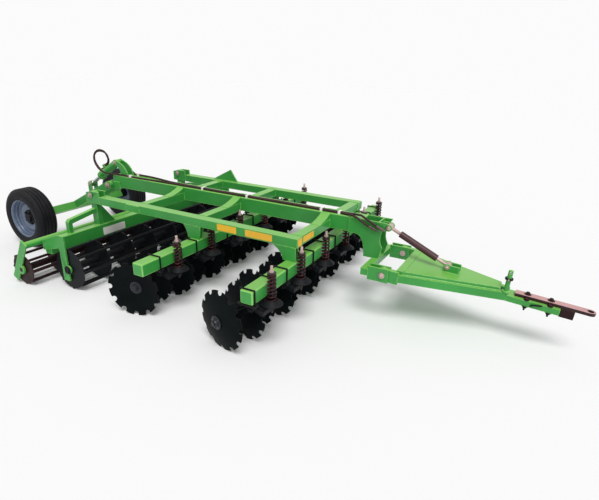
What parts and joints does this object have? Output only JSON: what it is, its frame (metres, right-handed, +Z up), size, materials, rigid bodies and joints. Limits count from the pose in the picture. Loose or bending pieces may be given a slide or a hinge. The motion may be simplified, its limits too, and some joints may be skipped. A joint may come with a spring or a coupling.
{
  "type": "trailed compact disc harrow",
  "caption": "Trailed disc harrow: green frame with rows of sprung, notched twin-disc units, bar rollers, a hydraulic wheel carriage and a hinged drawbar with a hitch eye.",
  "frame": {"origin": "on the ground under the middle of the machine's length and width", "axes": "+X the way the harrow is towed, towards the hitch eye; +Y its left side; +Z up"},
  "size_m": [6.7343, 3.162, 1.2192],
  "materials": {
    "green_paint": "satin",
    "black_paint": "satin",
    "disc_steel": "satin",
    "spring_steel": "satin",
    "rod_steel": "satin",
    "pin_steel": "satin",
    "hose_rubber": "matte",
    "white_plastic": "matte",
    "tongue_steel": "matte",
    "brown_primer": "matte",
    "chrome_rod": "polished",
    "rim_paint": "satin",
    "tyre": "matte"
  },
  "bodies": {
    "frame": {"side_beams": "green_paint", "centre_beam": "green_paint", "cross_tubes": "green_paint", "cross_gussets": "green_paint", "gang_hangers": "green_paint", "front_gang_beam": "green_paint", "rear_gang_beam": "green_paint", "unit_brackets": "black_paint", "unit_clamps": "black_paint", "unit_arms": "black_paint", "unit_springs": "spring_steel", "unit_rods": "rod_steel", "mast": "green_paint", "headstock": "green_paint", "headstock_pins": "pin_steel", "lift_horn": "green_paint", "roller_lugs": "green_paint", "carriage_lugs": "green_paint", "hoses": "hose_rubber", "hose_loops": "hose_rubber", "hose_clips": "white_plastic", "hose_couplers": "pin_steel"},
    "drawbar": {"drawbar_frame": "green_paint", "tongue": "tongue_steel", "tongue_channel": "brown_primer", "drawbar_post": "green_paint"},
    "turnbuckle_tube": {"turnbuckle_tube": "brown_primer"},
    "turnbuckle_rod": {"turnbuckle_rod": "brown_primer"},
    "carriage": {"carriage_arms": "green_paint", "axle_beam": "green_paint"},
    "left_wheel": {"left_rim": "rim_paint", "left_tyre": "tyre"},
    "right_wheel": {"right_rim": "rim_paint", "right_tyre": "tyre"},
    "cylinder_barrel": {"cylinder_barrel": "black_paint"},
    "cylinder_rod": {"cylinder_rod": "chrome_rod"},
    "roller_frame": {"roller_beam": "green_paint", "roller_posts": "green_paint", "roller_braces": "green_paint", "front_roller_arms": "green_paint", "rear_roller_frame": "green_paint"},
    "front_roller": {"front_roller": "black_paint"},
    "rear_roller": {"rear_roller": "brown_primer"},
    "front_discs_1": {"front_discs_1": "disc_steel"},
    "front_discs_2": {"front_discs_2": "disc_steel"},
    "front_discs_3": {"front_discs_3": "disc_steel"},
    "front_discs_4": {"front_discs_4": "disc_steel"},
    "front_discs_5": {"front_discs_5": "disc_steel"},
    "front_discs_6": {"front_discs_6": "disc_steel"},
    "rear_discs_1": {"rear_discs_1": "disc_steel"},
    "rear_discs_2": {"rear_discs_2": "disc_steel"},
    "rear_discs_3": {"rear_discs_3": "disc_steel"},
    "rear_discs_4": {"rear_discs_4": "disc_steel"},
    "rear_discs_5": {"rear_discs_5": "disc_steel"},
    "rear_discs_6": {"rear_discs_6": "disc_steel"}
  },
  "joints": [
    {"name": "drawbar_pitch", "type": "hinge", "parent": "frame", "child": "drawbar", "pos_m": [1.64079, 0, 0.502], "axis": [0, 1, 0], "range_deg": [-10, 8]},
    {"name": "turnbuckle_swing", "type": "hinge", "parent": "frame", "child": "turnbuckle_tube", "pos_m": [1.56579, 0, 0.854], "axis": [0, 1, 0], "range_deg": [-7, 6]},
    {"name": "turnbuckle_slide", "type": "slide", "parent": "turnbuckle_tube", "child": "turnbuckle_rod", "axis": [0.9056, 0, -0.424], "range_m": [-0.052, 0.042]},
    {"name": "carriage_lift", "type": "hinge", "parent": "frame", "child": "carriage", "pos_m": [-2.20521, 0, 0.783], "axis": [0, 1, 0], "range_deg": [-15, 20]},
    {"name": "cylinder_swing", "type": "hinge", "parent": "frame", "child": "cylinder_barrel", "pos_m": [-2.13121, 0, 1.069], "axis": [0, 1, 0], "range_deg": [-10.5, 14], "deforming": ["hose_loops"]},
    {"name": "cylinder_slide", "type": "slide", "parent": "cylinder_barrel", "child": "cylinder_rod", "axis": [-0.8449, 0, -0.5349], "range_m": [-0.0735, 0.0555]},
    {"name": "left_wheel_spin", "type": "hinge", "parent": "carriage", "child": "left_wheel", "pos_m": [-2.98721, 0.755, 0.38], "axis": [0, 1, 0], "continuous": true},
    {"name": "right_wheel_spin", "type": "hinge", "parent": "carriage", "child": "right_wheel", "pos_m": [-2.98721, -0.755, 0.38], "axis": [0, 1, 0], "continuous": true},
    {"name": "roller_frame_tilt", "type": "hinge", "parent": "frame", "child": "roller_frame", "pos_m": [-1.73221, 0, 0.855], "axis": [0, 1, 0], "range_deg": [-6, 6]},
    {"name": "front_roller_spin", "type": "hinge", "parent": "roller_frame", "child": "front_roller", "pos_m": [-1.41721, 0, 0.23], "axis": [0, 1, 0], "continuous": true},
    {"name": "rear_roller_spin", "type": "hinge", "parent": "roller_frame", "child": "rear_roller", "pos_m": [-1.94721, 0, 0.18], "axis": [0, 1, 0], "continuous": true},
    {"name": "front_discs_1_spin", "type": "hinge", "parent": "frame", "child": "front_discs_1", "pos_m": [0.65616, -1.375, 0.27], "axis": [0.2419, 0.9703, 0], "continuous": true},
    {"name": "front_discs_2_spin", "type": "hinge", "parent": "frame", "child": "front_discs_2", "pos_m": [0.65616, -0.875, 0.27], "axis": [0.2419, 0.9703, 0], "continuous": true},
    {"name": "front_discs_3_spin", "type": "hinge", "parent": "frame", "child": "front_discs_3", "pos_m": [0.65616, -0.375, 0.27], "axis": [0.2419, 0.9703, 0], "continuous": true},
    {"name": "front_discs_4_spin", "type": "hinge", "parent": "frame", "child": "front_discs_4", "pos_m": [0.65616, 0.125, 0.27], "axis": [0.2419, 0.9703, 0], "continuous": true},
    {"name": "front_discs_5_spin", "type": "hinge", "parent": "frame", "child": "front_discs_5", "pos_m": [0.65616, 0.625, 0.27], "axis": [0.2419, 0.9703, 0], "continuous": true},
    {"name": "front_discs_6_spin", "type": "hinge", "parent": "frame", "child": "front_discs_6", "pos_m": [0.65616, 1.125, 0.27], "axis": [0.2419, 0.9703, 0], "continuous": true},
    {"name": "rear_discs_1_spin", "type": "hinge", "parent": "frame", "child": "rear_discs_1", "pos_m": [-0.46884, -1.25, 0.27], "axis": [-0.2419, 0.9703, 0], "continuous": true},
    {"name": "rear_discs_2_spin", "type": "hinge", "parent": "frame", "child": "rear_discs_2", "pos_m": [-0.46884, -0.75, 0.27], "axis": [-0.2419, 0.9703, 0], "continuous": true},
    {"name": "rear_discs_3_spin", "type": "hinge", "parent": "frame", "child": "rear_discs_3", "pos_m": [-0.46884, -0.25, 0.27], "axis": [-0.2419, 0.9703, 0], "continuous": true},
    {"name": "rear_discs_4_spin", "type": "hinge", "parent": "frame", "child": "rear_discs_4", "pos_m": [-0.46884, 0.25, 0.27], "axis": [-0.2419, 0.9703, 0], "continuous": true},
    {"name": "rear_discs_5_spin", "type": "hinge", "parent": "frame", "child": "rear_discs_5", "pos_m": [-0.46884, 0.75, 0.27], "axis": [-0.2419, 0.9703, 0], "continuous": true},
    {"name": "rear_discs_6_spin", "type": "hinge", "parent": "frame", "child": "rear_discs_6", "pos_m": [-0.46884, 1.25, 0.27], "axis": [-0.2419, 0.9703, 0], "continuous": true}
  ],
  "couplings": [
    {"joint": "turnbuckle_swing", "follows": "drawbar_pitch", "ratio": 0.6675},
    {"joint": "turnbuckle_slide", "follows": "drawbar_pitch", "m_per_rad": 0.2891},
    {"joint": "cylinder_swing", "follows": "carriage_lift", "ratio": 0.6783},
    {"joint": "cylinder_slide", "follows": "carriage_lift", "m_per_rad": -0.2072}
  ]
}
